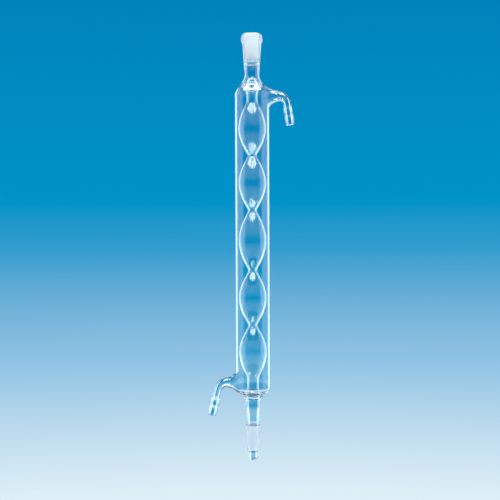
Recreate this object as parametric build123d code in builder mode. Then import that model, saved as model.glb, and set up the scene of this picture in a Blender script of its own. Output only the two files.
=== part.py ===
from build123d import *
from dataclasses import dataclass
import math
import os

# Bulb condenser in one piece of blown glass: an inner vapour tube with five bulbs,
# inside a water jacket, with a ground socket on top and a ground cone and drip tip below.
# Millimetres, +Z up along the condenser, origin on the axis at the wide end of the ground cone.
# The side arms lie in the XZ plane, the upper one towards +X and the lower one towards -X.

# Ground joints: bore and cone both narrow by a tenth of their length
joint_wide_d = 15.0
joint_taper = 0.1
cone_ground_len = 26.0
socket_ground_len = 28.0
cone_wall = 2.2

# Drip tip below the cone
tip_d = 10.3
tip_bore_d = 6.2
tip_len = 10.3
tip_step = 1.2
tip_bore_rise = 3.2
tip_cut_angle = 15.0

# Stem between the cone and the lower ring seal
stem_low_d = 12.6
stem_top_d = 16.6
stem_wall = 1.95
stem_top_wall = 2.7
stem_len = 25.0
cone_shoulder_h = 4.0

# Inner vapour tube: bulbs and waists, listed from the lowest bulb up
bulb_lengths = [54.0, 56.5, 62.0, 56.5, 55.0]
bulb_water_gap = 1.75
bulb_wall = 1.1
bulb_rings = 7
waist_d = 9.0
waist_wall = 1.5
lower_tube_d = 12.4
upper_tube_d = 11.8
tube_wall = 1.4
lower_tube_len = 7.0
upper_tube_len = 7.5
blend_rings = 3

# Ring seals, where inner tube, jacket and neck or stem are fused
lower_seal_rise = 8.0
lower_seal_d = 19.6
lower_funnel_h = 8.5
upper_seal_d = 23.2
upper_funnel_h = 8.5
seal_round = 0.9
seal_glass = 2.3

# Water jacket
jacket_d = 35.5
jacket_wall = 1.9
lower_shoulder_h = 15.2
lower_shoulder_round = 8.0
lower_shoulder_hollow = 5.0
upper_shoulder_h = 20.0
upper_shoulder_drop = 8.6
upper_shoulder_round = 8.5
upper_shoulder_hollow = 9.0
shoulder_knee = 1.1
lower_knee_h = 3.9
upper_knee_h = 3.5

# Neck and socket
neck_d = 15.2
neck_wall = 1.9
neck_len = 8.6
socket_len = 34.2
socket_foot_d = 16.6
socket_low_d = 17.1
socket_top_d = 19.2
bead_d = 22.1
bead_h = 12.2
bead_swell_h = 5.5
bead_round = 3.0

# Side arms and hose nozzles
arm_d = 10.4
arm_wall = 1.6
arm_root_rise = 4.1
arm_root_spread = 2.5
arm_root_shift = 0.9
arm_root_fillet = 2.0
upper_arm_drop = 10.0
lower_arm_rise = 11.0
upper_arm_reach = 27.8
lower_arm_reach = 26.3
upper_bend_r = 8.3
lower_bend_r = 10.3
upper_arm_lean = 8.5
lower_arm_lean = 13.7
upper_arm_run = 2.4
lower_arm_run = 6.0
nozzle_len = 20.7
nozzle_d = 7.8
nozzle_waist_d = 8.4
nozzle_ridge_d = 9.5
nozzle_tip_d = 8.2
nozzle_bore_d = 4.4
nozzle_tip_bevel = 0.5
low_ridge_share = 0.27
nozzle_waist_share = 0.46
high_ridge_share = 0.65

# Growth of an arm's root, from the plain tube inwards: share of the way to the jacket's wall,
# and share of the growth that is reached there
root_flare = [(0.0, 0.0), (0.45, 0.3), (0.75, 0.65), (1.0, 1.0)]
outer_root_end = [(1.45, 1.3), (1.85, 1.35)]
inner_root_end = [(1.45, 1.1)]

# Radii
jacket_r = jacket_d / 2
bore_r = jacket_r - jacket_wall
bulb_r = bore_r - bulb_water_gap
waist_r = waist_d / 2
cone_wide_r = joint_wide_d / 2
cone_small_r = cone_wide_r - cone_ground_len * joint_taper / 2
socket_small_r = cone_wide_r - socket_ground_len * joint_taper / 2
neck_r = neck_d / 2
neck_bore_r = neck_r - neck_wall
rim_flat = bead_round * (1 - math.cos(math.pi / 4))
stem_top_r = stem_top_d / 2
stem_low_r = stem_low_d / 2

# Heights above the origin
lower_seal_z = stem_len + lower_seal_rise
lower_tube_z = lower_seal_z + lower_funnel_h
bulbs_bottom_z = lower_tube_z + lower_tube_len
bulbs_top_z = bulbs_bottom_z + sum(bulb_lengths)
upper_tube_z = bulbs_top_z + upper_tube_len
upper_seal_z = upper_tube_z + upper_funnel_h
shoulder_low_z = stem_len + lower_shoulder_h
shoulder_high_z = upper_seal_z - upper_shoulder_drop
neck_z = shoulder_high_z + upper_shoulder_h
socket_z = neck_z + neck_len
rim_z = socket_z + socket_len
socket_floor_z = rim_z - socket_ground_len
bead_z = rim_z - bead_h
tip_step_z = -cone_ground_len - tip_step
tip_end_z = -cone_ground_len - tip_len

# Water side of the ring seals: three flats close the space between the two tubes
upper_seal_r = upper_seal_d / 2
lower_seal_r = lower_seal_d / 2
seal_flat = seal_round / 2
upper_seal = [
    (upper_seal_r + seal_round, upper_seal_z - seal_round),
    (upper_seal_r + seal_flat, upper_seal_z),
    (upper_seal_r - seal_flat, upper_seal_z),
    (upper_seal_r - seal_round, upper_seal_z - seal_flat),
]
lower_seal = [
    (lower_seal_r - seal_round, lower_seal_z + seal_round),
    (lower_seal_r - seal_flat, lower_seal_z),
    (lower_seal_r + seal_flat, lower_seal_z),
    (lower_seal_r + seal_round, lower_seal_z + seal_flat),
]

# Vapour side of the ring seals, where the passage is widest
upper_throat_r = upper_seal_r - seal_glass
upper_throat_z = upper_seal_z + seal_round
lower_throat_r = lower_seal_r - seal_glass
lower_throat_z = lower_seal_z - seal_round

# Roots of the side arms, outside and inside
outer_root = root_flare + outer_root_end
inner_root = root_flare + inner_root_end


@dataclass
class SideArm:
    """One side arm: it leaves the jacket level, bends down and ends in a hose nozzle."""

    side: int
    height: float
    reach: float
    bend_r: float
    lean: float
    run: float

    def __post_init__(self):
        turn = math.radians(90 - self.lean)
        self.heading = Vector(self.side * math.cos(turn), 0, -math.sin(turn))
        self.bend_start = self.across(self.reach)
        self.bend_end = Plane(
            (
                self.side * (self.reach + self.bend_r * math.sin(turn)),
                0,
                self.height - self.bend_r * (1 - math.cos(turn)),
            ),
            x_dir=(0, self.side, 0),
            z_dir=self.heading,
        )
        self.nozzle_start = self.bend_end.offset(self.run)
        self.nozzle_half = Plane(self.nozzle_start.origin, x_dir=self.heading, z_dir=(0, 1, 0))
        self.nozzle_axis = Axis(self.nozzle_start.origin, self.heading)

    def across(self, distance, shift=0.0):
        """Plane across the level part of the arm, shifted towards the middle of the jacket."""
        return Plane(
            (self.side * distance, 0, self.height - self.side * shift),
            x_dir=(0, self.side, 0),
            z_dir=(self.side, 0, 0),
        )

    def beside_jacket(self, edge):
        """Whether an edge lies where the arm's root meets the jacket's wall."""
        return self.side * edge.center().X > 0 and abs(edge.center().X) < jacket_r + arm_root_fillet

    def root_section(self, share, growth, wall):
        """Plane and half sizes of the oval root at a share of the way to the jacket's wall."""
        distance = self.reach - share * (self.reach - jacket_r)
        half_w = arm_d / 2 + growth * arm_root_spread - wall
        half_h = arm_d / 2 + growth * arm_root_rise - wall
        return self.across(distance, growth * arm_root_shift), half_w, half_h


upper_arm = SideArm(
    side=1,
    height=upper_seal_z - upper_arm_drop,
    reach=upper_arm_reach,
    bend_r=upper_bend_r,
    lean=upper_arm_lean,
    run=upper_arm_run,
)
lower_arm = SideArm(
    side=-1,
    height=lower_seal_z + lower_arm_rise,
    reach=lower_arm_reach,
    bend_r=lower_bend_r,
    lean=lower_arm_lean,
    run=lower_arm_run,
)


def ogee(start, end, first_round, last_round):
    """Shoulder from one tube to another: an arc, a straight slant and an opposite arc."""
    side = math.copysign(1, end[0] - start[0])
    rounds = first_round + last_round
    gap = abs(end[0] - start[0]) - rounds
    height = end[1] - start[1]
    slant = math.degrees(math.atan2(gap, height) + math.asin(rounds / math.hypot(gap, height)))
    first = JernArc(start, (0, 1), first_round, -side * slant)
    last = JernArc(end, (0, -1), last_round, -side * slant)
    Line(first @ 1, last @ 1)


def blend(start, end):
    """Blown transition from one tube to another: half a wave, drawn as straight rings."""
    points = []
    for ring in range(blend_rings + 1):
        share = ring / blend_rings
        rise = (1 - math.cos(math.pi * share)) / 2
        points.append((start[0] + (end[0] - start[0]) * rise, start[1] + (end[1] - start[1]) * share))
    Polyline(*points)


def bulb_chain(crest_r, low_tube_r, high_tube_r, between_r):
    """Outline of the bulbs from the lower plain tube to the upper one.

    Each bulb follows the arch of a sine, drawn as straight rings of equal height.
    """
    crest_rise = math.sin(math.pi * (bulb_rings // 2) / bulb_rings)
    low_z = bulbs_bottom_z
    points = [(low_tube_r, low_z)]
    for number, length in enumerate(bulb_lengths):
        low_r = low_tube_r if number == 0 else between_r
        high_r = high_tube_r if number == len(bulb_lengths) - 1 else between_r
        for ring in range(1, bulb_rings + 1):
            share = ring / bulb_rings
            end_r = low_r if share < 0.5 else high_r
            rise = math.sin(math.pi * share) / crest_rise
            points.append((end_r + (crest_r - end_r) * rise, low_z + length * share))
        low_z += length
    Polyline(*points)


with BuildPart() as condenser:
    # Outer envelope, turned about the axis from the drip tip up to the socket's rim
    with BuildSketch(Plane.XZ) as envelope:
        with BuildLine():
            Polyline(
                (0, tip_end_z),
                (tip_d / 2, tip_end_z),
                (tip_d / 2, tip_step_z),
                (cone_small_r, -cone_ground_len),
                (cone_wide_r, 0),
            )
            Line((cone_wide_r, 0), (stem_low_r, cone_shoulder_h))
            Line((stem_low_r, cone_shoulder_h), (stem_top_r, stem_len))
            ogee(
                (stem_top_r, stem_len),
                (jacket_r, shoulder_low_z),
                lower_shoulder_hollow,
                lower_shoulder_round,
            )
            Line((jacket_r, shoulder_low_z), (jacket_r, shoulder_high_z))
            ogee(
                (jacket_r, shoulder_high_z),
                (neck_r, neck_z),
                upper_shoulder_round,
                upper_shoulder_hollow,
            )
            Polyline(
                (neck_r, neck_z),
                (socket_foot_d / 2, socket_z),
                (socket_low_d / 2, socket_floor_z),
                (socket_top_d / 2, bead_z),
                (bead_d / 2, bead_z + bead_swell_h),
                (bead_d / 2, rim_z - bead_round),
                (bead_d / 2 - rim_flat, rim_z - rim_flat),
                (bead_d / 2 - bead_round, rim_z),
                (0, rim_z),
            )
            Line((0, rim_z), (0, tip_end_z))
        make_face()
    revolve(axis=Axis.Z)

    # Drip tip cut on a slant, its long side towards -X
    tip_slant = math.radians(tip_cut_angle)
    split(
        bisect_by=Plane(
            (-tip_d / 2, 0, tip_end_z), z_dir=(-math.sin(tip_slant), 0, math.cos(tip_slant))
        ),
        keep=Keep.TOP,
    )

    # Side arms, solid until their bores are cut: flared root, bend, straight run and nozzle
    for arm in (upper_arm, lower_arm):
        for share, growth in outer_root:
            plane, half_w, half_h = arm.root_section(share, growth, wall=0)
            with BuildSketch(plane):
                Ellipse(half_w, half_h)
        loft()
        root_edges = condenser.edges(Select.LAST).filter_by(GeomType.BSPLINE)
        fillet(root_edges.filter_by(arm.beside_jacket), arm_root_fillet)
        with BuildSketch(arm.bend_start):
            Circle(arm_d / 2)
        with BuildSketch(arm.bend_end):
            Circle(nozzle_d / 2)
        with BuildLine(Plane.XZ) as bend:
            JernArc(
                (arm.side * arm.reach, arm.height),
                (arm.side, 0),
                arm.bend_r,
                -arm.side * (90 - arm.lean),
            )
        sweep(path=bend.line, multisection=True)
        with BuildSketch(arm.bend_end):
            Circle(nozzle_d / 2)
        extrude(amount=arm.run)
        with BuildSketch(arm.nozzle_half):
            with BuildLine():
                Polyline(
                    (0, 0),
                    (0, nozzle_d / 2),
                    (nozzle_len * low_ridge_share, nozzle_ridge_d / 2),
                    (nozzle_len * nozzle_waist_share, nozzle_waist_d / 2),
                    (nozzle_len * high_ridge_share, nozzle_ridge_d / 2),
                    (nozzle_len - nozzle_tip_bevel, nozzle_tip_d / 2),
                    (nozzle_len, nozzle_tip_d / 2 - nozzle_tip_bevel),
                    (nozzle_len, 0),
                    close=True,
                )
            make_face()
        revolve(axis=arm.nozzle_axis)

    # Water space between the inner tube and the jacket, closed at both ring seals
    with BuildSketch(Plane.XZ) as water_space:
        with BuildLine():
            Line((bore_r, shoulder_low_z), (bore_r, shoulder_high_z))
            Polyline(
                (bore_r, shoulder_high_z),
                (bore_r - shoulder_knee, shoulder_high_z + upper_knee_h),
                *upper_seal,
            )
            blend(upper_seal[-1], (upper_tube_d / 2, upper_tube_z))
            Line((upper_tube_d / 2, upper_tube_z), (upper_tube_d / 2, bulbs_top_z))
            bulb_chain(bulb_r, lower_tube_d / 2, upper_tube_d / 2, waist_r)
            Line((lower_tube_d / 2, bulbs_bottom_z), (lower_tube_d / 2, lower_tube_z))
            blend((lower_tube_d / 2, lower_tube_z), lower_seal[0])
            Polyline(
                *lower_seal,
                (bore_r - shoulder_knee, shoulder_low_z - lower_knee_h),
                (bore_r, shoulder_low_z),
            )
        make_face()
    revolve(axis=Axis.Z, mode=Mode.SUBTRACT)

    # Bores of the side arms, open to the water space and at the nozzle tips
    for arm in (upper_arm, lower_arm):
        for share, growth in inner_root:
            plane, half_w, half_h = arm.root_section(share, growth, wall=arm_wall)
            with BuildSketch(plane):
                Ellipse(half_w, half_h)
        loft(mode=Mode.SUBTRACT)
        with BuildSketch(arm.bend_start):
            Circle(arm_d / 2 - arm_wall)
        with BuildSketch(arm.bend_end):
            Circle(nozzle_bore_d / 2)
        with BuildLine(Plane.XZ) as bend:
            JernArc(
                (arm.side * arm.reach, arm.height),
                (arm.side, 0),
                arm.bend_r,
                -arm.side * (90 - arm.lean),
            )
        sweep(path=bend.line, multisection=True, mode=Mode.SUBTRACT)
        with BuildSketch(arm.bend_end):
            Circle(nozzle_bore_d / 2)
        extrude(amount=arm.run + nozzle_len, mode=Mode.SUBTRACT)

    # Vapour passage from the socket through the bulbs to the drip tip
    with BuildSketch(Plane.XZ) as passage:
        with BuildLine():
            Polyline(
                (0, tip_end_z),
                (tip_bore_d / 2, tip_end_z),
                (tip_bore_d / 2, tip_step_z),
            )
            Polyline(
                (tip_bore_d / 2, tip_step_z),
                (cone_small_r - cone_wall, tip_bore_rise - cone_ground_len),
                (cone_wide_r - cone_wall, 0),
                (stem_low_r - stem_wall, cone_shoulder_h),
                (stem_top_r - stem_top_wall, stem_len),
                (lower_throat_r, lower_throat_z),
            )
            blend((lower_throat_r, lower_throat_z), (lower_tube_d / 2 - tube_wall, lower_tube_z))
            Line(
                (lower_tube_d / 2 - tube_wall, lower_tube_z),
                (lower_tube_d / 2 - tube_wall, bulbs_bottom_z),
            )
            bulb_chain(
                bulb_r - bulb_wall,
                lower_tube_d / 2 - tube_wall,
                upper_tube_d / 2 - tube_wall,
                waist_r - waist_wall,
            )
            Line(
                (upper_tube_d / 2 - tube_wall, bulbs_top_z),
                (upper_tube_d / 2 - tube_wall, upper_tube_z),
            )
            blend((upper_tube_d / 2 - tube_wall, upper_tube_z), (upper_throat_r, upper_throat_z))
            blend((upper_throat_r, upper_throat_z), (neck_bore_r, neck_z))
            Polyline(
                (neck_bore_r, neck_z),
                (neck_bore_r, socket_z),
                (socket_small_r, socket_floor_z),
                (cone_wide_r, rim_z),
            )
            Polyline((cone_wide_r, rim_z), (0, rim_z), (0, tip_end_z))
        make_face()
    revolve(axis=Axis.Z, mode=Mode.SUBTRACT)

condenser.part.label = "condenser"
os.makedirs("parts", exist_ok=True)
export_step(condenser.part, "parts/condenser.step")
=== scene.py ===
import logging
import math
from collections.abc import Callable
from dataclasses import dataclass
from enum import Enum

import bmesh
import bpy
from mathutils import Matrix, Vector


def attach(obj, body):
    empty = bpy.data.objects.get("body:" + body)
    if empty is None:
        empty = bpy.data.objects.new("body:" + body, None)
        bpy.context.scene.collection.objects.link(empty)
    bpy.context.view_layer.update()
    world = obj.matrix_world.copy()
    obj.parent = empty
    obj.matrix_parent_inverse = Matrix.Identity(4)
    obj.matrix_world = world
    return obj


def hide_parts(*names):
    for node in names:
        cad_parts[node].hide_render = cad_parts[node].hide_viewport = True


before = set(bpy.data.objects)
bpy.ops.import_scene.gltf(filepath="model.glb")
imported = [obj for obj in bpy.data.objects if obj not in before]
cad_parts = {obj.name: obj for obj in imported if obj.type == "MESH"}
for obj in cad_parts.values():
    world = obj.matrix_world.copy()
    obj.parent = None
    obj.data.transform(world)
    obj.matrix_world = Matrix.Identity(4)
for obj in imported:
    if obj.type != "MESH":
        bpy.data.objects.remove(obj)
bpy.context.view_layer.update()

# Bulb condenser of blown borosilicate glass, upright, +Z up, sizes in millimetres.
# The whole condenser is one fused piece, so it is one closed glass mesh.

NODE = "condenser"
MM = 0.001
# Segments round the turned surfaces, round the jacket's cage and round the root of an arm
AROUND = 96
CAGE_AROUND = 24
ROOT_AROUND = 16
# How often the cage is smoothed
LEVELS = 2
# How far a funnel holds its direction at the wide throat and at the plain tube
THROAT_PULL = 2.98
TUBE_PULL = 4.25

log = logging.getLogger("condenser")
logging.basicConfig(level=logging.INFO, format="%(message)s")


class Side(Enum):
    """Side of the jacket that a hose arm leaves from."""

    RIGHT = 1
    LEFT = -1


class Skin(Enum):
    """Finish of a stretch of the glass, and its material slot."""

    POLISHED = 0
    GROUND = 1


@dataclass(frozen=True)
class Ring:
    """One ring of a turned surface: its radius and height in millimetres."""

    radius: float
    height: float

    def away(self, other: "Ring") -> float:
        """Distance along the outline to another ring."""
        return math.hypot(self.radius - other.radius, self.height - other.height)

    def towards(self, other: "Ring", share: float) -> "Ring":
        """Ring at a share of the straight way to another ring."""
        return Ring(
            self.radius + share * (other.radius - self.radius),
            self.height + share * (other.height - self.height),
        )


# Ends of the jacket's two shoulders, and the ring that the upper one shares with the neck
NECK_FOOT = Ring(7.6, 359.9)
STEM_TOP = Ring(8.3, 25.0)
NECK_SEAM = Ring(NECK_FOOT.radius, NECK_FOOT.height + 1.5)

def curve(
    start: Ring, out: tuple[float, float], back: tuple[float, float], end: Ring, steps: int
) -> list[Ring]:
    """Rings along a cubic curve, without the ring at its start.

    Args:
        start: ring that the curve leaves from.
        out: radius and height from the start to the first control point.
        back: radius and height from the end to the second control point.
        end: ring that it reaches.
        steps: how many rings to make.

    Returns:
        The rings in order, the last one at the curve's end.
    """
    points = (
        start,
        Ring(start.radius + out[0], start.height + out[1]),
        Ring(end.radius + back[0], end.height + back[1]),
        end,
    )
    rings = []
    for step in range(1, steps + 1):
        t = step / steps
        shares = ((1 - t) ** 3, 3 * t * (1 - t) ** 2, 3 * t * t * (1 - t), t**3)
        radius = sum(share * point.radius for share, point in zip(shares, points))
        height = sum(share * point.height for share, point in zip(shares, points))
        rings.append(Ring(radius, height))
    return rings


def s_curve(
    start: Ring, end: Ring, start_pull: float, end_pull: float, steps: int
) -> list[Ring]:
    """Rings of a blown transition whose both ends run along the condenser.

    Args:
        start: ring that the transition leaves from.
        end: ring that it reaches.
        start_pull: how far the start's direction is held.
        end_pull: how far the end's direction is held.
        steps: how many rings to make.

    Returns:
        The rings after the start.
    """
    way = 1 if end.height > start.height else -1
    return curve(start, (0, way * start_pull), (0, -way * end_pull), end, steps)


def through(targets: list[float]) -> list[float]:
    """Control values whose smooth curve passes through the targets.

    Args:
        targets: the wanted values, in order.

    Returns:
        As many control values; the first and last are the targets themselves.
    """
    passes = 20
    values = list(targets)
    for _ in range(passes):
        for i in range(1, len(values) - 1):
            reached = (values[i - 1] + 4 * values[i] + values[i + 1]) / 6
            values[i] += targets[i] - reached
    return values


def graded(start: float, end: float, first: float, last: float) -> list[float]:
    """Places from start up to, but without, end, spaced more widely away from both.

    Args:
        start: place of the first row.
        end: place where the next stretch begins.
        first: spacing wanted at the start.
        last: spacing wanted at the end.

    Returns:
        The places in order.
    """
    widest, growth = 32.0, 1.45
    front, back = [first], [last]
    while sum(front) + sum(back) < end - start:
        side = front if front[-1] <= back[-1] else back
        side.append(min(side[-1] * growth, widest))
    steps = front + back[::-1]
    fit = (end - start) / sum(steps)
    places = [start]
    for step in steps[:-1]:
        places.append(places[-1] + step * fit)
    return places


def ring_growth(around: int) -> float:
    """How much larger a cage ring is than the smooth ring that it makes."""
    return 3 / (2 + math.cos(2 * math.pi / around))


def begin(name: str, ring: Ring, around: int) -> bpy.types.Object:
    """Starts a surface as one open ring and leaves it in edit mode, selected.

    Args:
        name: the new object's name.
        ring: size and height of the ring.
        around: number of vertices around it.

    Returns:
        The new object.
    """
    bpy.ops.object.select_all(action="DESELECT")
    bpy.ops.mesh.primitive_circle_add(
        vertices=around, radius=ring.radius * MM, location=(0, 0, ring.height * MM)
    )
    piece = bpy.context.object
    piece.name = name
    bpy.ops.object.transform_apply(location=True, rotation=True, scale=True)
    bpy.ops.object.mode_set(mode="EDIT")
    bpy.ops.mesh.select_mode(type="VERT")
    bpy.ops.mesh.select_all(action="SELECT")
    return piece


def lift(rings: list[Ring]) -> None:
    """Extrudes the selected ring along an outline.

    Args:
        rings: the outline, beginning with the ring that is selected.
    """
    for last, ring in zip(rings, rings[1:]):
        bpy.ops.mesh.extrude_region_move(
            TRANSFORM_OT_translate={"value": (0, 0, (ring.height - last.height) * MM)}
        )
        share = ring.radius / last.radius
        bpy.ops.transform.resize(
            value=(share, share, 1), center_override=(0, 0, ring.height * MM)
        )


def leave_edit() -> None:
    """Goes back to object mode."""
    bpy.ops.object.mode_set(mode="OBJECT")


def join(pieces: list[bpy.types.Object]) -> None:
    """Joins objects into the first of them."""
    bpy.ops.object.select_all(action="DESELECT")
    for piece in pieces:
        piece.select_set(True)
    bpy.context.view_layer.objects.active = pieces[0]
    bpy.ops.object.join()


def choose(piece: bpy.types.Object, kind: str, test: Callable[..., bool]) -> int:
    """Selects the vertices, edges or faces of the edited mesh that pass a test.

    Args:
        piece: the object in edit mode.
        kind: VERT, EDGE or FACE.
        test: function of one element that says whether it is wanted.

    Returns:
        How many were selected.
    """
    bpy.ops.mesh.select_mode(type=kind)
    bpy.ops.mesh.select_all(action="DESELECT")
    mesh = bmesh.from_edit_mesh(piece.data)
    elements = {"VERT": mesh.verts, "EDGE": mesh.edges, "FACE": mesh.faces}[kind]
    count = 0
    for element in elements:
        if test(element):
            element.select = True
            count += 1
    mesh.select_flush_mode()
    bmesh.update_edit_mesh(piece.data)
    return count


def middle(element: bmesh.types.BMEdge | bmesh.types.BMFace) -> Vector:
    """Middle of an edge or face, in millimetres."""
    places = [vertex.co for vertex in element.verts]
    return sum(places, Vector()) / len(places) / MM


@dataclass
class RingSeals:
    """Where inner tube, jacket and neck or stem are fused."""

    lower_radius: float = 9.8
    lower_height: float = 33.0
    upper_radius: float = 11.6
    upper_height: float = 348.5
    round_radius: float = 0.9
    glass: float = 2.3

    def upper_throat(self) -> Ring:
        """Widest ring of the passage at the upper seal."""
        return Ring(self.upper_radius - self.glass, self.upper_height + self.round_radius)

    def lower_throat(self) -> Ring:
        """Widest ring of the passage at the lower seal."""
        return Ring(self.lower_radius - self.glass, self.lower_height - self.round_radius)


@dataclass
class VapourTube:
    """Inner tube with five blown bulbs, between the two ring seals."""

    bulb_lengths: tuple[float, ...] = (54.0, 56.5, 62.0, 56.5, 55.0)
    bulb_radius: float = 14.1
    bulb_wall: float = 1.1
    waist_radius: float = 4.5
    waist_wall: float = 1.5
    waist_pull: float = 0.05
    crest_pull: float = 0.27
    tube_wall: float = 1.4
    lower_radius: float = 6.2
    upper_radius: float = 5.9
    lower_funnel: float = 41.5
    lower_end: float = 48.5
    upper_funnel: float = 340.0
    half_bulb_steps: int = 11
    funnel_steps: int = 9
    funnel_pull: float = 3.83
    upper_seal_pull: tuple[float, float] = (-2.55, -2.55)
    lower_seal_pull: tuple[float, float] = (-1.7, 1.7)
    # Rounding of the seals, inwards and away from the jacket's end, in shares of its radius
    upper_rounding: tuple[tuple[float, float], ...] = ((0, 0), (0.35, 0.07), (0.7, 0.33), (1, 0.7))
    lower_rounding: tuple[tuple[float, float], ...] = ((1, 0.8), (0.7, 0.38), (0.35, 0.09), (0, 0))

    def bulbs(self, inside: bool) -> list[Ring]:
        """Rings of the bulb chain from the lowest waist up.

        Args:
            inside: True for the vapour side, False for the water side.

        Returns:
            The rings, the first and last on the plain tubes.
        """
        wall = self.tube_wall if inside else 0
        crest = self.bulb_radius - (self.bulb_wall if inside else 0)
        waist = self.waist_radius - (self.waist_wall if inside else 0)
        rings = [Ring(self.lower_radius - wall, self.lower_end)]
        for number, length in enumerate(self.bulb_lengths):
            low = rings[-1]
            is_last = number == len(self.bulb_lengths) - 1
            top = Ring(crest, low.height + length / 2)
            high = Ring(self.upper_radius - wall if is_last else waist, low.height + length)
            near, far = length * self.waist_pull, length * self.crest_pull
            rings += s_curve(low, top, near, far, self.half_bulb_steps)
            rings += s_curve(top, high, far, near, self.half_bulb_steps)
        return rings

    def water_side(self, seals: RingSeals) -> list[Ring]:
        """Rings of the tube's outside, from the upper ring seal down to the lower one."""
        edge = seals.round_radius
        rings = [
            Ring(seals.upper_radius - edge * inwards, seals.upper_height - edge * down)
            for inwards, down in self.upper_rounding
        ]
        foot = [
            Ring(seals.lower_radius - edge * inwards, seals.lower_height + edge * up)
            for inwards, up in self.lower_rounding
        ]
        steps, pull = self.funnel_steps, self.funnel_pull
        top = Ring(self.upper_radius, self.upper_funnel)
        bottom = Ring(self.lower_radius, self.lower_funnel)
        rings += curve(rings[-1], self.upper_seal_pull, (0, pull), top, steps)
        rings += reversed(self.bulbs(inside=False))
        rings.append(bottom)
        rings += curve(bottom, (0, -pull), self.lower_seal_pull, foot[0], steps)
        return rings + foot[1:]

    def passage(self, seals: RingSeals) -> list[Ring]:
        """Rings of the tube's inside, from the upper throat down to the lower one."""
        upper, lower = seals.upper_throat(), seals.lower_throat()
        top = Ring(self.upper_radius - self.tube_wall, self.upper_funnel)
        bottom = Ring(self.lower_radius - self.tube_wall, self.lower_funnel)
        rings = s_curve(upper, top, THROAT_PULL, TUBE_PULL, self.funnel_steps)
        rings += reversed(self.bulbs(inside=True))
        rings.append(bottom)
        return rings + s_curve(bottom, lower, TUBE_PULL, THROAT_PULL, self.funnel_steps)


@dataclass
class TopSocket:
    """Neck and ground socket with its beaded rim."""

    neck_bore: float = 6.25
    rim: float = 402.7
    ground_wide: float = 7.5
    ground_small: float = 6.1
    ground_length: float = 28.0
    edge: float = 0.5
    ground_steps: int = 28
    # Stretches of the outside from the neck up: how each leaves and arrives, its end and rows
    stretches: tuple[tuple, ...] = (
        ((0.1, 3.1), (-0.25, -8.2), Ring(8.55, 374.7), 10),
        ((0.3, 5.0), (-0.35, -6.0), Ring(9.6, 390.5), 9),
        ((0.18, 2.6), (0.0, -3.6), Ring(11.05, 396.6), 8),
        ((0.0, 4.2), (0.83, 0.0), Ring(8.9, 402.7), 10),
    )
    # Ripples of the bore under the ground stretch, as radius and height
    ripples: tuple[tuple[float, float], ...] = (
        (6.45, 372.7),
        (5.95, 370.7),
        (6.5, 368.6),
        (6.25, 366.8),
    )

    def outside(self) -> list[Ring]:
        """Rings from the neck up to the rim."""
        rings = [NECK_SEAM]
        for out, back, end, steps in self.stretches:
            rings += curve(rings[-1], out, back, end, steps)
        return rings

    def inside(self, throat: Ring) -> list[Ring]:
        """Rings from the rim down the ground bore to the throat of the ring seal."""
        wide, edge = self.ground_wide, self.edge
        rings = [
            Ring(wide + edge, self.rim),
            Ring(wide + edge * 0.3, self.rim - edge * 0.3),
            Ring(wide - 0.03, self.rim - edge),
        ]
        top = Ring(wide, self.rim - edge)
        floor = Ring(self.ground_small, self.rim - self.ground_length)
        steps = self.ground_steps
        rings += [top.towards(floor, step / steps) for step in range(1, steps + 1)]
        for radius, height in self.ripples:
            last, ring = rings[-1], Ring(radius, height)
            pull = (last.height - ring.height) / 3
            rings += s_curve(last, ring, pull, pull, 5)
        foot = Ring(self.neck_bore, NECK_FOOT.height)
        rings.append(foot)
        return rings + s_curve(foot, throat, TUBE_PULL, THROAT_PULL, 12)


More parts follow.
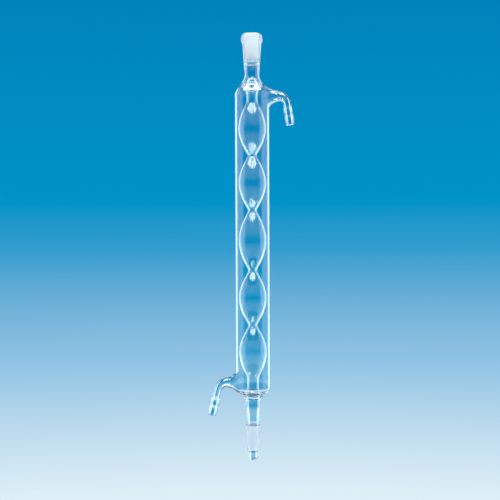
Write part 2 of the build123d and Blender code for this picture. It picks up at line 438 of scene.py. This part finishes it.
@dataclass
class LowerStem:
    """Stem under the lower ring seal, ground cone and drip tip."""

    low_radius: float = 6.3
    wall: float = 1.95
    top_wall: float = 2.7
    shoulder: float = 4.0
    cone_wide: float = 7.5
    cone_small: float = 6.2
    cone_length: float = 26.0
    cone_wall: float = 2.2
    tip_radius: float = 5.15
    tip_bore: float = 3.1
    tip_step: float = 1.2
    tip_end: float = -36.3
    tip_cut: float = 15.0
    edge: float = 0.35
    tip_steps: int = 5
    cone_steps: int = 26

    def slant_middle(self) -> float:
        """Height of the slanted end on the condenser's axis."""
        return self.tip_end + self.tip_radius * math.tan(math.radians(self.tip_cut))

    def tip_rows(self) -> list[float]:
        """Heights of the drip tip's rows: one beside its mouth, the others above its slant."""
        end = self.slant_middle()
        first = 2 * end - self.tip_end + 2 * self.edge
        last = -self.cone_length - self.tip_step - 1.0
        return [end + 2 * self.edge] + [
            first + (last - first) * step / self.tip_steps for step in range(self.tip_steps + 1)
        ]

    def inside(self, throat: Ring) -> list[Ring]:
        """Rings from the throat of the ring seal down to the drip tip's mouth."""
        top = Ring(STEM_TOP.radius - self.top_wall, STEM_TOP.height)
        low = Ring(self.low_radius - self.wall, self.shoulder)
        rings = s_curve(throat, top, 2.4, 2.4, 6)
        belly = STEM_TOP.height * 0.6
        rings += s_curve(top, low, top.height - belly, belly - low.height, 10)
        bore = Ring(self.cone_wide - self.cone_wall - 0.1, -self.shoulder / 2)
        rings += s_curve(low, bore, 2.0, 2.0, 6)
        step_height = -self.cone_length - self.tip_step
        small = Ring(self.cone_small - self.cone_wall, step_height + 2 * self.cone_wall)
        rings.append(small)
        rings += s_curve(small, Ring(self.tip_bore, step_height), 1.1, 2.2, 6)
        end = self.slant_middle()
        rings += [Ring(self.tip_bore, height) for height in self.tip_rows()[::-1]]
        rings += [
            Ring(self.tip_bore, end + self.edge),
            Ring(self.tip_bore + self.edge * 0.3, end + self.edge * 0.3),
            Ring(self.tip_bore + self.edge, end),
        ]
        return rings

    def outside(self) -> list[Ring]:
        """Rings from the drip tip's mouth up to the foot of the lower ring seal."""
        end = self.slant_middle()
        step_height = -self.cone_length - self.tip_step
        rings = [
            Ring(self.tip_radius - self.edge, end),
            Ring(self.tip_radius - self.edge * 0.3, end + self.edge * 0.3),
            Ring(self.tip_radius, end + self.edge),
            *[Ring(self.tip_radius, height) for height in self.tip_rows()],
            Ring(self.tip_radius, step_height - 0.5),
            Ring(self.tip_radius + 0.1, step_height),
            Ring(self.cone_small - 0.35, -self.cone_length - 0.2),
            Ring(self.cone_small - 0.08, -self.cone_length + 0.1),
        ]
        small, wide = Ring(self.cone_small, -self.cone_length), Ring(self.cone_wide, 0.0)
        steps = self.cone_steps
        rings += [small.towards(wide, (step + 0.5) / steps) for step in range(steps)]
        low = Ring(self.low_radius, self.shoulder)
        rings += [wide] + s_curve(wide, low, 1.0, 2.0, 7)
        return rings + curve(low, (0.05, 9.75), (-0.95, -6.0), STEM_TOP, 14)


@dataclass
class SideArm:
    """Hose arm of the jacket: flared root, bend, straight run and ridged nozzle."""

    side: Side
    height: float
    reach: float
    bend_radius: float
    lean: float
    run: float
    wall: float = 1.6
    radius: float = 5.2
    root_rise: float = 4.1
    root_spread: float = 2.5
    root_shift: float = 0.9
    jacket_radius: float = 17.75
    nozzle_length: float = 20.7
    nozzle_radius: float = 3.9
    nozzle_waist: float = 4.2
    nozzle_ridge: float = 4.75
    nozzle_tip: float = 4.1
    nozzle_bore: float = 2.2
    tip_round: float = 0.7
    bend_steps: int = 6
    fillet: float = 1.4
    root_start: float = 1.7
    bore_start: float = 0.9
    root_rows: tuple[float, ...] = (21.2, 23.4, 25.6)
    # Places along the nozzle, in shares of its length
    ridge_places: tuple[float, ...] = (0.27, 0.46, 0.65)
    bore_places: tuple[float, ...] = (0.3, 0.62, 0.9, 0.985)

    def root_height(self) -> float:
        """Height of the middle of the root where it meets the jacket."""
        return self.height - self.side.value * self.root_shift

    def root_half_height(self, inside: bool) -> float:
        """Half the height of the patch of jacket that the root grows from."""
        return self.radius + self.root_rise + self.fillet - (self.wall if inside else 0)

    def growth(self, distance: float) -> float:
        """Share of the root's flare that is reached at a distance from the axis."""
        share = (self.reach - distance) / (self.reach - self.jacket_radius)
        return max(0.0, 0.35 * share + 0.65 * share * share)

    def cross(self, distance: float, inside: bool) -> tuple[float, float, float]:
        """Half width, half height and middle height of the level part.

        Args:
            distance: distance from the condenser's axis.
            inside: True for the bore.

        Returns:
            The three sizes in millimetres.
        """
        grown = self.growth(distance)
        wall = self.wall if inside else 0
        half_width = self.radius + grown * self.root_spread - wall
        half_height = self.radius + grown * self.root_rise - wall
        return half_width, half_height, self.height - self.side.value * grown * self.root_shift

    def nozzle(self, inside: bool) -> list[tuple[float, float]]:
        """Radius at each place along the straight end, as pairs of place and radius."""
        length, bore, steps = self.nozzle_length, self.nozzle_bore, 4
        if inside:
            return [(place * length, bore) for place in self.bore_places] + [(length, bore + 0.12)]
        marks = [(0.0, self.nozzle_radius)]
        for place, size in zip(
            self.ridge_places, (self.nozzle_ridge, self.nozzle_waist, self.nozzle_ridge)
        ):
            marks.append((place * length, size))
        marks.append((length - self.tip_round, self.nozzle_tip))
        stations = []
        for low, high in zip(marks, marks[1:]):
            for step in range(1, steps + 1):
                share = step / steps
                blend = share * share * (3 - 2 * share)
                place = low[0] + share * (high[0] - low[0])
                stations.append((place, low[1] + blend * (high[1] - low[1])))
        for turn in (30, 60, 90):
            angle = math.radians(turn)
            place = length - self.tip_round * (1 - math.sin(angle))
            radius = self.nozzle_tip - self.tip_round * (1 - math.cos(angle))
            stations.append((place, radius))
        return stations

    def grow(self, piece: bpy.types.Object, rows: tuple[float, float], inside: bool) -> None:
        """Opens the jacket's cage and draws the arm out of it.

        Args:
            piece: the cage, in edit mode.
            rows: lowest and highest height of the patch to open.
            inside: True for the bore.
        """
        side = self.side.value
        patch, margin = math.radians(30), 1.2

        def in_patch(face: bmesh.types.BMFace) -> bool:
            place = middle(face)
            turn = math.atan2(place.y, side * place.x)
            return abs(turn) < patch and rows[0] < place.z < rows[1]

        choose(piece, "FACE", in_patch)
        bpy.ops.mesh.delete(type="FACE")

        def on_rim(edge: bmesh.types.BMEdge) -> bool:
            place = middle(edge)
            near = rows[0] - margin < place.z < rows[1] + margin
            return edge.is_boundary and side * place.x > 0 and near

        found = choose(piece, "EDGE", on_rim)
        if found != ROOT_AROUND:
            raise ValueError(f"the root's opening has {found} edges")
        self.draw_root(piece, inside)
        self.draw_bend(inside)
        self.draw_nozzle(inside)

    def draw_root(self, piece: bpy.types.Object, inside: bool) -> None:
        """Extrudes the opening level outwards, from the flare to the plain tube."""
        side = self.side.value
        fuller = ring_growth(ROOT_AROUND)
        first = self.jacket_radius + (self.bore_start if inside else self.root_start)
        distances = [first, *self.root_rows, self.reach]
        sizes = [self.cross(distance, inside) for distance in distances]
        half_width, half_height, height = sizes[0]
        centre = (side * first * MM, 0, height * MM)
        bpy.ops.mesh.extrude_region_move(TRANSFORM_OT_translate={"value": (side * MM, 0, 0)})
        mesh = bmesh.from_edit_mesh(piece.data)
        chosen = [vertex for vertex in mesh.verts if vertex.select]
        now = sum((vertex.co.x for vertex in chosen)) / len(chosen)
        now_height = sum((vertex.co.z for vertex in chosen)) / len(chosen)
        bpy.ops.transform.resize(value=(0, 1, 1), center_override=(now, 0, now_height))
        bpy.ops.transform.translate(value=(centre[0] - now, 0, centre[2] - now_height))
        bpy.ops.transform.tosphere(value=1.0, center_override=centre)
        mesh = bmesh.from_edit_mesh(piece.data)
        chosen = [vertex for vertex in mesh.verts if vertex.select]
        round_radius = (chosen[0].co - Vector(centre)).length / MM
        bpy.ops.transform.resize(
            value=(1, half_width * fuller / round_radius, half_height * fuller / round_radius),
            center_override=centre,
        )
        for (last, size), (old, new) in zip(
            zip(distances, distances[1:]), zip(sizes, sizes[1:])
        ):
            step = (side * (size - last) * MM, 0, (new[2] - old[2]) * MM)
            bpy.ops.mesh.extrude_region_move(TRANSFORM_OT_translate={"value": step})
            bpy.ops.transform.resize(
                value=(1, new[0] / old[0], new[1] / old[1]),
                center_override=(side * size * MM, 0, new[2] * MM),
            )

    def draw_bend(self, inside: bool) -> None:
        """Extrudes the plain tube round the bend, narrowing to the nozzle."""
        side = self.side.value
        start = self.radius - (self.wall if inside else 0)
        end = self.nozzle_bore if inside else self.nozzle_radius
        turn = math.radians(90 - self.lean)
        pivot = Vector((side * self.reach, 0, self.height - self.bend_radius))
        radius = start
        for step in range(1, self.bend_steps + 1):
            angle = turn * step / self.bend_steps
            bpy.ops.mesh.extrude_region_move(TRANSFORM_OT_translate={"value": (0, 0, 0)})
            bpy.ops.transform.rotate(
                value=-side * turn / self.bend_steps,
                orient_axis="Y",
                center_override=pivot * MM,
            )
            place = pivot + self.bend_radius * Vector(
                (side * math.sin(angle), 0, math.cos(angle))
            )
            wanted = start + (end - start) * step / self.bend_steps
            share = wanted / radius
            bpy.ops.transform.resize(value=(share, share, share), center_override=place * MM)
            radius = wanted

    def draw_nozzle(self, inside: bool) -> None:
        """Extrudes the straight run and the nozzle."""
        side = self.side.value
        turn = math.radians(90 - self.lean)
        heading = Vector((side * math.cos(turn), 0, -math.sin(turn)))
        start = Vector(
            (
                side * (self.reach + self.bend_radius * math.sin(turn)),
                0,
                self.height - self.bend_radius * (1 - math.cos(turn)),
            )
        )
        radius = self.nozzle_bore if inside else self.nozzle_radius
        stations = [(-self.run * 0.5, radius)]
        if not inside:
            stations.append((0.0, radius))
        stations += self.nozzle(inside)
        last = -self.run
        for place, wanted in stations:
            bpy.ops.mesh.extrude_region_move(
                TRANSFORM_OT_translate={"value": heading * (place - last) * MM}
            )
            share = wanted / radius
            centre = start + heading * (self.run + place)
            bpy.ops.transform.resize(value=(share, share, share), center_override=centre * MM)
            radius = wanted
            last = place


@dataclass
class WaterJacket:
    """Outer tube with its two shoulders, outside and inside."""

    radius: float = 17.75
    wall: float = 1.9
    low: float = 40.2
    high: float = 339.9
    lower_pulls: tuple[float, float] = (7.2, 4.6)
    upper_pulls: tuple[float, float] = (6.6, 6.6)
    outline_steps: int = 60
    # Spacing of the cage's rows at the arms' roots, and at the outside's and the inside's ends
    root_step: float = 5.0
    outer_step: float = 2.0
    inner_step: float = 0.8
    # Rows of the patch that a root grows from, in shares of its half height
    patch_rows: tuple[float, ...] = (1, 0.45, 0, -0.45, -1)

    def outline(self, seals: RingSeals, inside: bool) -> list[Ring]:
        """Fine outline from the top down, from which the cage's rows are taken.

        Args:
            seals: the ring seals, where the inside ends.
            inside: True for the water side.

        Returns:
            Closely spaced rings.
        """
        bore = self.radius - self.wall
        if not inside:
            high, low = Ring(self.radius, self.high), Ring(self.radius, self.low)
            rings = [NECK_SEAM, NECK_FOOT]
            rings += s_curve(NECK_FOOT, high, *self.upper_pulls, self.outline_steps)
            rings.append(low)
            return rings + s_curve(low, STEM_TOP, *self.lower_pulls, self.outline_steps)
        edge = seals.round_radius
        out_high = Ring(seals.upper_radius + edge, seals.upper_height - edge)
        out_low = Ring(seals.lower_radius + edge, seals.lower_height + edge * 0.5)
        slope_high, slope_low, pull = math.radians(35), math.radians(33), 3
        rings = [
            Ring(seals.upper_radius, seals.upper_height),
            Ring(seals.upper_radius + edge * 0.62, seals.upper_height - edge * 0.28),
            out_high,
        ]
        out = (pull * math.sin(slope_high), -pull * math.cos(slope_high))
        rings += curve(out_high, out, (0, 4.6), Ring(bore, self.high), self.outline_steps)
        low = Ring(bore, self.low)
        rings.append(low)
        back = (pull * math.cos(slope_low), pull * math.sin(slope_low))
        rings += curve(low, (0, -4.9), back, out_low, self.outline_steps)
        return rings + [
            Ring(seals.lower_radius + edge * 0.6, seals.lower_height + edge * 0.1),
            Ring(seals.lower_radius, seals.lower_height),
        ]

    def rows(
        self, outline: list[Ring], arms: tuple[SideArm, SideArm], inside: bool
    ) -> list[Ring]:
        """Rows of the cage: close together on the shoulders and at the arms' roots.

        Args:
            outline: the fine outline, from the top down.
            arms: both side arms, the upper one first.
            inside: True for the water side.

        Returns:
            Rows from the top down.
        """
        walked = [0.0]
        for last, ring in zip(outline, outline[1:]):
            walked.append(walked[-1] + last.away(ring))

        def place_of(height: float) -> float:
            for i in range(len(outline) - 1):
                top, low = outline[i].height, outline[i + 1].height
                if low <= height <= top and top > low:
                    return walked[i] + (top - height) / (top - low) * (walked[i + 1] - walked[i])
            raise ValueError(f"no row at {height}")

        def ring_at(place: float) -> Ring:
            for i in range(len(outline) - 1):
                if place <= walked[i + 1] + 1e-6:
                    share = (place - walked[i]) / (walked[i + 1] - walked[i])
                    return outline[i].towards(outline[i + 1], share)
            return outline[-1]

        patches = []
        for arm in arms:
            half = arm.root_half_height(inside)
            centre = arm.root_height()
            patches.append([place_of(centre + share * half) for share in self.patch_rows])
        upper, lower = patches
        end_step = self.inner_step if inside else self.outer_step
        places = graded(0.0, upper[0], end_step, self.root_step)
        places += upper[:-1]
        places += graded(upper[-1], lower[0], self.root_step, self.root_step)
        places += lower[:-1]
        places += graded(lower[-1], walked[-1], self.root_step, end_step)
        rings = [ring_at(place) for place in places] + [outline[-1]]
        log.info("%s rows in the jacket's cage", len(rings))
        return rings

    def build(
        self, name: str, seals: RingSeals, arms: tuple[SideArm, SideArm], inside: bool
    ) -> bpy.types.Object:
        """Models one side of the jacket's wall with the same side of both arms.

        Args:
            name: the new object's name.
            seals: the ring seals.
            arms: both side arms.
            inside: True for the water side.

        Returns:
            The smooth, open sheet.
        """
        rows = self.rows(self.outline(seals, inside), arms, inside)
        fuller = ring_growth(CAGE_AROUND)
        radii = [radius * fuller for radius in through([row.radius for row in rows])]
        heights = through([row.height for row in rows])
        cage = [Ring(radius, height) for radius, height in zip(radii, heights)]
        piece = begin(name, cage[0], CAGE_AROUND)
        lift(cage)
        for arm in arms:
            half = arm.root_half_height(inside)
            centre = arm.root_height()
            arm.grow(piece, (centre - half, centre + half), inside)
        leave_edit()
        modifier = piece.modifiers.new("smooth", "SUBSURF")
        modifier.levels = LEVELS
        modifier.render_levels = LEVELS
        bpy.ops.object.modifier_apply(modifier=modifier.name)
        return piece


@dataclass
class Condenser:
    """The whole condenser: every stretch of glass, fused into one closed mesh."""

    jacket: WaterJacket
    tube: VapourTube
    seals: RingSeals
    socket: TopSocket
    stem: LowerStem
    arms: tuple[SideArm, SideArm]
    weld: float = 0.04

    def turned(self, name: str, rings: list[Ring]) -> bpy.types.Object:
        """Models a surface that is round all the way.

        Args:
            name: the new object's name.
            rings: its outline.

        Returns:
            The open surface.
        """
        piece = begin(name, rings[0], AROUND)
        lift(rings)
        leave_edit()
        return piece

    def passage(self) -> bpy.types.Object:
        """Models the way over the rim, down the passage, round the drip tip and up the stem."""
        rings = self.socket.outside()
        rings += self.socket.inside(self.seals.upper_throat())
        rings += self.tube.passage(self.seals)
        rings += self.stem.inside(self.seals.lower_throat())
        rings += self.stem.outside()
        piece = self.turned("vapour_side", rings)
        self.cut_tip(piece)
        return piece

    def cut_tip(self, piece: bpy.types.Object) -> None:
        """Tilts the end of the drip tip, its long side towards -X."""
        stem = self.stem
        end = stem.slant_middle()
        bpy.ops.object.mode_set(mode="EDIT")
        slack = 0.05
        reach = 2 * stem.edge + slack
        choose(piece, "VERT", lambda vertex: vertex.co.z / MM < end + reach)
        slant = math.radians(stem.tip_cut)
        pivot = (0, 0, end * MM)
        bpy.ops.transform.rotate(value=slant, orient_axis="Y", center_override=pivot)
        bpy.ops.transform.resize(value=(1 / math.cos(slant), 1, 1), center_override=pivot)
        leave_edit()

    def fuse(self, pieces: list[bpy.types.Object], inside: bool) -> bpy.types.Object:
        """Joins open surfaces into one, welds their shared rings and turns the faces one way.

        Args:
            pieces: the surfaces, the first of which takes in the others.
            inside: True where the faces are to point inwards, as round the water.

        Returns:
            The joined surface.
        """
        join(pieces)
        bpy.ops.object.mode_set(mode="EDIT")
        bpy.ops.mesh.select_mode(type="VERT")
        bpy.ops.mesh.select_all(action="SELECT")
        bpy.ops.mesh.remove_doubles(threshold=self.weld * MM)
        bpy.ops.mesh.normals_make_consistent(inside=inside)
        leave_edit()
        return pieces[0]

    def close_nozzles(self, piece: bpy.types.Object) -> None:
        """Bridges the outer wall and the bore at both nozzle tips."""
        bpy.ops.object.mode_set(mode="EDIT")
        for side in Side:
            choose(
                piece,
                "EDGE",
                lambda edge: edge.is_boundary and side.value * edge.verts[0].co.x > 0,
            )
            bpy.ops.mesh.bridge_edge_loops()
        leave_edit()

    def build(self) -> bpy.types.Object:
        """Models every stretch and fuses them.

        Returns:
            The closed mesh.
        """
        air_side = self.fuse(
            [self.jacket.build("outer_wall", self.seals, self.arms, inside=False), self.passage()],
            inside=False,
        )
        water_side = self.fuse(
            [
                self.jacket.build("water_side", self.seals, self.arms, inside=True),
                self.turned("tube_wall", self.tube.water_side(self.seals)),
            ],
            inside=True,
        )
        log.info("air side: %s faces", len(air_side.data.polygons))
        log.info("water side: %s faces", len(water_side.data.polygons))
        join([air_side, water_side])
        self.close_nozzles(air_side)
        air_side.name = "condenser_glass"
        return air_side


def linear(colour: str) -> tuple[float, float, float, float]:
    """Turns an sRGB hex colour into the linear values that a shader takes."""
    parts = [int(colour[i : i + 2], 16) / 255 for i in (1, 3, 5)]
    turned = [c / 12.92 if c <= 0.04045 else ((c + 0.055) / 1.055) ** 2.4 for c in parts]
    return (*turned, 1.0)


def node(tree: bpy.types.NodeTree, kind: str, settings: dict, links: dict) -> bpy.types.Node:
    """Adds a node with its settings and links.

    Args:
        tree: the node tree.
        kind: the node's type.
        settings: values for its inputs, by name or index, or for its own properties.
        links: for an input's name or index, the output that feeds it.

    Returns:
        The new node.
    """
    added = tree.nodes.new(kind)
    for key, value in settings.items():
        if isinstance(key, str) and hasattr(added, key):
            setattr(added, key, value)
        else:
            added.inputs[key].default_value = value
    for key, output in links.items():
        tree.links.new(output, added.inputs[key])
    return added


@dataclass(frozen=True)
class Finish:
    """Surface of borosilicate glass, with a fine relief that breaks up its reflections."""

    name: str
    colour: str
    transmission: float
    roughness: float
    grain_mm: tuple[float, float]
    grain_detail: float
    relief_mm: float
    relief_share: float
    ior: float = 1.473

    def build(self) -> bpy.types.Material:
        """Makes the material; the relief's grains are drawn out along the condenser's axis."""
        material = bpy.data.materials.new(self.name)
        material.use_nodes = True
        tree = material.node_tree
        tree.nodes.clear()
        place = node(tree, "ShaderNodeTexCoord", {}, {})
        across, along = (1 / (size * MM) for size in self.grain_mm)
        stretch = node(
            tree,
            "ShaderNodeMapping",
            {"Scale": (across, across, along)},
            {"Vector": place.outputs["Object"]},
        )
        grain = node(
            tree,
            "ShaderNodeTexNoise",
            {"Scale": 1.0, "Detail": self.grain_detail},
            {"Vector": stretch.outputs[0]},
        )
        bump = node(
            tree,
            "ShaderNodeBump",
            {"Strength": self.relief_share, "Distance": self.relief_mm * MM},
            {"Height": grain.outputs["Fac"]},
        )
        shader = node(
            tree,
            "ShaderNodeBsdfPrincipled",
            {
                "Base Color": linear(self.colour),
                "Roughness": self.roughness,
                "IOR": self.ior,
                "Transmission Weight": self.transmission,
            },
            {"Normal": bump.outputs[0]},
        )
        node(tree, "ShaderNodeOutputMaterial", {}, {"Surface": shader.outputs[0]})
        return material


# Fire-polished tube has faint lengthwise draw lines; ground glass has an even grit, drawn
# coarser than the real 0.05 mm so that it shows
FINISHES = {
    Skin.POLISHED: Finish(
        "borosilicate_fire_polished",
        colour="#fbfefe",
        transmission=1.0,
        roughness=0.0,
        grain_mm=(1.6, 60.0),
        grain_detail=1.0,
        relief_mm=0.2,
        relief_share=0.004,
    ),
    Skin.GROUND: Finish(
        "borosilicate_ground",
        colour="#fcfcf8",
        transmission=0.5,
        roughness=0.6,
        grain_mm=(0.35, 0.35),
        grain_detail=2.0,
        relief_mm=0.1,
        relief_share=0.25,
    ),
}


@dataclass(frozen=True)
class SoftBox:
    """Flat, even light that faces the condenser; the camera doesn't see it."""

    name: str
    azimuth: float
    elevation: float
    distance: float
    width: float
    height: float
    brightness: float

    def build(self, aim: Vector) -> None:
        """Adds the light.

        Args:
            aim: point that it faces, in metres.
        """
        light = bpy.data.lights.new(self.name, "AREA")
        light.shape = "RECTANGLE"
        light.size = self.width
        light.size_y = self.height
        light.energy = math.pi * self.width * self.height * self.brightness
        turn, rise = math.radians(self.azimuth), math.radians(self.elevation)
        away = Vector(
            (math.cos(rise) * math.cos(turn), math.cos(rise) * math.sin(turn), math.sin(rise))
        )
        box = bpy.data.objects.new(self.name, light)
        box.location = aim + away * self.distance
        box.rotation_euler = away.to_track_quat("Z", "Y").to_euler()
        box.visible_camera = False
        bpy.context.scene.collection.objects.link(box)


@dataclass
class Studio:
    """Pale floor below the hanging condenser, soft boxes, and a sky that darkens overhead.

    The sky's colours are named by the sine of the angle above the horizon.
    """

    floor_height: float = -520.0
    floor_radius: float = 2000.0
    sky: tuple[tuple[float, str], ...] = (
        (-0.2, "#deeff7"),
        (-0.1, "#95c6e5"),
        (0.0, "#329dce"),
        (0.04, "#0093c8"),
        (0.2, "#0083bc"),
        (0.6, "#006a98"),
    )
    glass_lift: float = 0.085
    aim_height: float = 180.0
    paper_roughness: float = 0.9
    disc_points: int = 64
    clear_bounces: int = 40
    glossy_bounces: int = 24
    card_height: float = -500.0
    card_radius: float = 750.0
    boxes: tuple[SoftBox, ...] = (
        SoftBox("back_right", 58, 0, 4.0, 1.35, 3.6, 1.25),
        SoftBox("back_left", 122, 0, 4.0, 1.35, 3.6, 1.25),
        SoftBox("side_right", 2, 0, 2.2, 1.8, 3.2, 0.8),
        SoftBox("side_left", 178, 0, 2.2, 1.8, 3.2, 0.8),
        SoftBox("front_right", 325, 62, 2.2, 1.4, 0.9, 11.0),
        SoftBox("front_left", 215, 62, 2.2, 1.4, 0.9, 11.0),
        SoftBox("top_front", 270, 56, 1.8, 0.6, 0.5, 7.0),
        SoftBox("top_front_core", 270, 57, 1.8, 0.22, 0.36, 18.0),
        SoftBox("top_back", 90, 52, 2.2, 1.6, 1.0, 2.0),
    )

    def build(self) -> None:
        """Makes the floor, the dark card, the world's soft gradient and the lights."""
        # Pale paper: an even, quiet ground that the glass stands out against
        self.disc("floor", "pale_paper", "#e6eef2", self.floor_radius, self.floor_height)
        # Dark card: unseen itself, it gives the undersides of the glass their thin dark lines
        card = self.disc("card", "dark_card", "#15110f", self.card_radius, self.card_height)
        card.visible_camera = False
        card.visible_diffuse = False
        card.visible_shadow = False
        self.world()
        for box in self.boxes:
            box.build(Vector((0, 0, self.aim_height * MM)))
        scene = bpy.context.scene
        scene.cycles.max_bounces = self.clear_bounces
        scene.cycles.transmission_bounces = self.clear_bounces
        scene.cycles.glossy_bounces = self.glossy_bounces
        scene.view_settings.view_transform = "Standard"

    def disc(
        self, name: str, finish: str, colour: str, radius: float, height: float
    ) -> bpy.types.Object:
        """Adds a level disc with a soft paper surface.

        Args:
            name: the object's name.
            finish: the material's name.
            colour: its colour, as sRGB hex.
            radius: the disc's radius in millimetres.
            height: its height.

        Returns:
            The disc.
        """
        bpy.ops.object.select_all(action="DESELECT")
        bpy.ops.mesh.primitive_circle_add(
            vertices=self.disc_points,
            radius=radius * MM,
            fill_type="NGON",
            location=(0, 0, height * MM),
        )
        disc = bpy.context.object
        disc.name = name
        bpy.ops.object.transform_apply(location=True, rotation=True, scale=True)
        material = bpy.data.materials.new(finish)
        material.use_nodes = True
        paper = material.node_tree.nodes["Principled BSDF"]
        paper.inputs["Base Color"].default_value = linear(colour)
        paper.inputs["Roughness"].default_value = self.paper_roughness
        disc.data.materials.append(material)
        return disc

    def world(self) -> None:
        """Fills the world with a gradient by elevation: pale below, blue above.

        What the glass shows of it is taken a little higher up, so that the tubes are bluer than
        the backdrop beside them.
        """
        world = bpy.data.worlds.new("studio_light")
        bpy.context.scene.world = world
        world.use_nodes = True
        tree = world.node_tree
        tree.nodes.clear()
        place = node(tree, "ShaderNodeTexCoord", {}, {})
        parts = node(tree, "ShaderNodeSeparateXYZ", {}, {"Vector": place.outputs["Generated"]})
        ray = node(tree, "ShaderNodeLightPath", {}, {})
        lift = node(
            tree,
            "ShaderNodeMapRange",
            {"From Min": 0.0, "From Max": 1.0, "To Min": self.glass_lift, "To Max": 0.0},
            {"Value": ray.outputs["Is Camera Ray"]},
        )
        rise = node(
            tree,
            "ShaderNodeMath",
            {"operation": "ADD"},
            {0: parts.outputs["Z"], 1: lift.outputs[0]},
        )
        share = node(
            tree,
            "ShaderNodeMapRange",
            {"From Min": -1.0, "From Max": 1.0, "To Min": 0.0, "To Max": 1.0},
            {"Value": rise.outputs[0]},
        )
        ramp = node(tree, "ShaderNodeValToRGB", {}, {"Fac": share.outputs[0]})
        stops = ramp.color_ramp.elements
        for _ in self.sky[2:]:
            stops.new(0.5)
        for stop, (rise, colour) in zip(stops, self.sky):
            stop.position = (rise + 1) / 2
            stop.color = linear(colour)
        back = node(tree, "ShaderNodeBackground", {"Strength": 1.0}, {"Color": ramp.outputs[0]})
        node(tree, "ShaderNodeOutputWorld", {}, {"Surface": back.outputs[0]})


@dataclass
class Viewpoint:
    """Camera in front of the condenser, level with a point below its middle."""

    distance: float = 1220.0
    height: float = 180.2
    side_step: float = -2.64
    half_frame: float = 257.5
    roll: float = -0.228
    sensor: float = 36.0
    nearest: float = 10.0

    def build(self) -> None:
        """Adds the camera and makes it the scene's own."""
        camera_data = bpy.data.cameras.new("camera")
        camera_data.sensor_width = self.sensor
        camera_data.lens = self.sensor / 2 * self.distance / self.half_frame
        camera_data.clip_start = self.nearest * MM
        camera = bpy.data.objects.new("camera", camera_data)
        camera.location = (self.side_step * MM, -self.distance * MM, self.height * MM)
        camera.rotation_euler = (math.pi / 2, math.radians(-self.roll), 0)
        bpy.context.scene.collection.objects.link(camera)
        bpy.context.scene.camera = camera


def dress(glass: bpy.types.Object, socket: TopSocket, stem: LowerStem) -> None:
    """Gives the glass its finishes: polished all over, ground in the socket and on the cone.

    Args:
        glass: the condenser's mesh.
        socket: the socket, whose bore is ground.
        stem: the stem, whose cone is ground.
    """
    for skin in Skin:
        glass.data.materials.append(FINISHES[skin].build())
    floor_height = socket.rim - socket.ground_length
    frost_low, frost_even = floor_height - 2.0, floor_height + 2.5
    columns = 3

    def in_socket(face: bmesh.types.BMFace) -> bool:
        place = middle(face)
        radius = math.hypot(place.x, place.y)
        if radius >= socket.ground_wide or not frost_low < place.z < socket.rim - socket.edge:
            return False
        column = math.floor((math.atan2(place.y, place.x) / math.tau + 0.5) * AROUND)
        return place.z > frost_even or column % columns > 0

    def on_cone(face: bmesh.types.BMFace) -> bool:
        place = middle(face)
        radius = math.hypot(place.x, place.y)
        return -stem.cone_length < place.z < 0 and radius > stem.cone_small - 0.1

    bpy.ops.object.select_all(action="DESELECT")
    glass.select_set(True)
    bpy.context.view_layer.objects.active = glass
    bpy.ops.object.mode_set(mode="EDIT")
    choose(glass, "FACE", lambda face: in_socket(face) or on_cone(face))
    glass.active_material_index = Skin.GROUND.value
    bpy.ops.object.material_slot_assign()
    bpy.ops.mesh.select_all(action="DESELECT")
    leave_edit()
    sharpest = math.radians(50)
    bpy.ops.object.shade_smooth_by_angle(angle=sharpest)


def main() -> None:
    """Builds the condenser and reports each piece."""
    arms = (
        SideArm(Side.RIGHT, height=338.5, reach=27.8, bend_radius=8.3, lean=8.5, run=2.4),
        SideArm(Side.LEFT, height=44.0, reach=26.3, bend_radius=10.3, lean=13.7, run=6.0),
    )
    socket = TopSocket()
    stem = LowerStem()
    condenser = Condenser(WaterJacket(), VapourTube(), RingSeals(), socket, stem, arms)
    glass = condenser.build()
    dress(glass, socket, stem)
    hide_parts(NODE)
    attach(glass, "root")
    log.info("%s: %s faces", glass.name, len(glass.data.polygons))
    Studio().build()
    Viewpoint().build()


if __name__ == "__main__":
    main()
